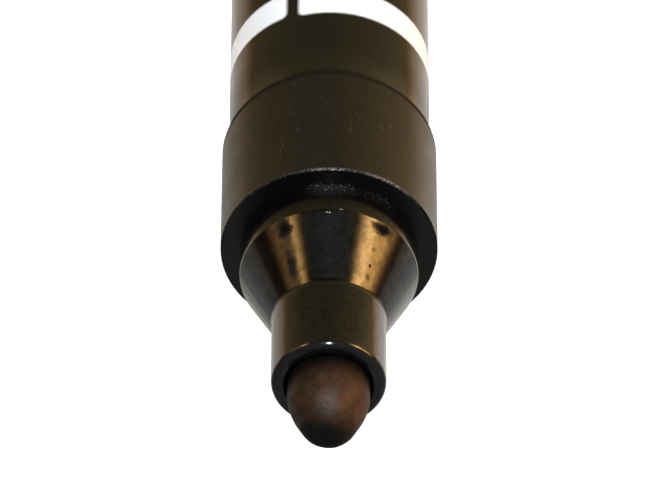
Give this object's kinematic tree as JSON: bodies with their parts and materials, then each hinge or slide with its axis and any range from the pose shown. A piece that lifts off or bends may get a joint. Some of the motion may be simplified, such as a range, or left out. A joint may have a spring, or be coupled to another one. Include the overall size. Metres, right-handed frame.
{
  "type": "permanent marker",
  "caption": "Permanent marker with a fibre bullet nib in a stepped black holder, a satin collar, a printed barrel and a fluted cap posted on the tail.",
  "frame": {"origin": "centre of the flat closed end of the posted cap, on which the marker stands", "axes": "+Z along the marker's axis from the cap up to the nib; the gap in the printed ring lies between -Y and +X"},
  "size_m": [0.016, 0.016, 0.1465],
  "materials": {
    "barrel_plastic": "moulded black polypropylene",
    "label_film": "glossy printed film, black with a white ring",
    "collar_plastic": "satin spark-eroded black polypropylene",
    "holder_plastic": "polished black polypropylene",
    "nib_fibre": "compressed polyester fibre stained by ink",
    "reservoir_fibre": "soft fibre rod soaked with ink",
    "wrap_film": "clear film",
    "cap_plastic": "satin black polypropylene",
    "inner_cap_plastic": "natural polyethylene"
  },
  "bodies": {
    "cap": {"cap": "cap_plastic", "inner_cap": "inner_cap_plastic"},
    "pen": {"barrel": "barrel_plastic", "label_sleeve": "label_film", "front_collar": "collar_plastic", "nib_holder": "holder_plastic", "nib": "nib_fibre", "ink_reservoir": "reservoir_fibre", "reservoir_wrap": "wrap_film", "tail_plug": "barrel_plastic"}
  },
  "joints": [
    {"name": "cap_pull", "type": "slide", "parent": "cap", "child": "pen", "axis": [0, 0, 1], "range_m": [0, 0.03]}
  ]
}
